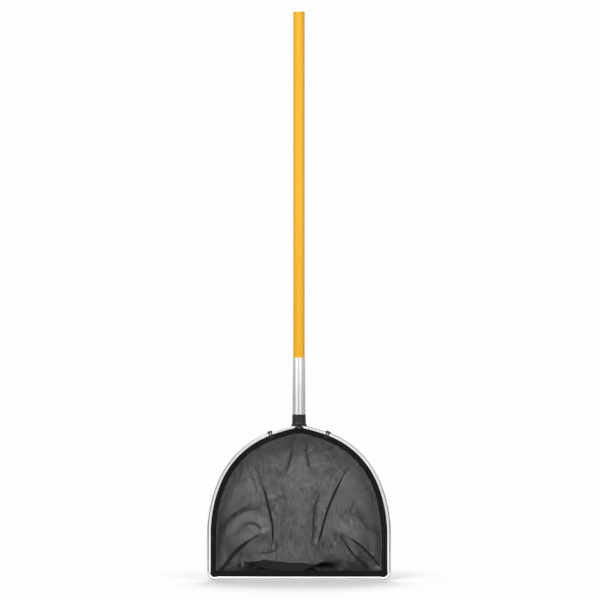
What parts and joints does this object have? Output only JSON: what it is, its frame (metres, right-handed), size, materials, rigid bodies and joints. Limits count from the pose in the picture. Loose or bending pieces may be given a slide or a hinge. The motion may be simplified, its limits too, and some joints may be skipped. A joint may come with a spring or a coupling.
{
  "type": "leaf skimmer net",
  "caption": "Leaf skimmer net: a D-shaped slotted tube frame holds a fine mesh bag below a moulded hub, ferrule and long straight pole.",
  "frame": {"origin": "centre of the pole's butt end, which is the top of the object", "axes": "+Z along the pole, away from the net; +X to the right seen from the net's mouth; the mouth faces -Y and the bag hangs behind it, towards +Y"},
  "size_m": [0.46, 0.1412, 1.4209],
  "materials": {
    "yellow_fibreglass": "satin resin over long glass strands",
    "plug_rubber": "matt",
    "ferrule_aluminium": "bright drawn",
    "rivet_aluminium": "satin",
    "black_moulding": "fine moulded grain",
    "dark_steel": "blackened",
    "spring_steel": "ground",
    "button_steel": "nickel plated",
    "frame_aluminium": "bright drawn",
    "elbow_aluminium": "satin cast",
    "bead_cord": "braided",
    "hem_tape": "woven tape",
    "mesh": "fine open mesh",
    "clip_moulding": "moulded"
  },
  "bodies": {
    "skimmer": {"pole": "yellow_fibreglass", "pole_plug": "plug_rubber", "ferrule": "ferrule_aluminium", "pole_rivet": "rivet_aluminium", "hub": "black_moulding", "hub_screws": "dark_steel", "clip_spring": "spring_steel", "bow_left": "frame_aluminium", "bow_right": "frame_aluminium", "lower_bar": "frame_aluminium", "corner_left": "elbow_aluminium", "corner_right": "elbow_aluminium", "corner_rivets": "rivet_aluminium", "bead_cord_left": "bead_cord", "bead_cord_right": "bead_cord", "bead_cord_bottom": "bead_cord", "hem_tape": "hem_tape", "net_bag": "mesh", "frame_clip_left": "clip_moulding", "frame_clip_right": "clip_moulding", "hem_rivets": "clip_moulding"},
    "left_button": {"left_button": "button_steel"},
    "right_button": {"right_button": "button_steel"}
  },
  "joints": [
    {"name": "left_button_press", "type": "slide", "parent": "skimmer", "child": "left_button", "axis": [1, 0, 0], "range_m": [0, 0.0026], "stiffness_N_per_m": 3000, "deforming": ["clip_spring"]},
    {"name": "right_button_press", "type": "slide", "parent": "skimmer", "child": "right_button", "axis": [-1, 0, 0], "range_m": [0, 0.0026], "stiffness_N_per_m": 3000, "deforming": ["clip_spring"]}
  ]
}
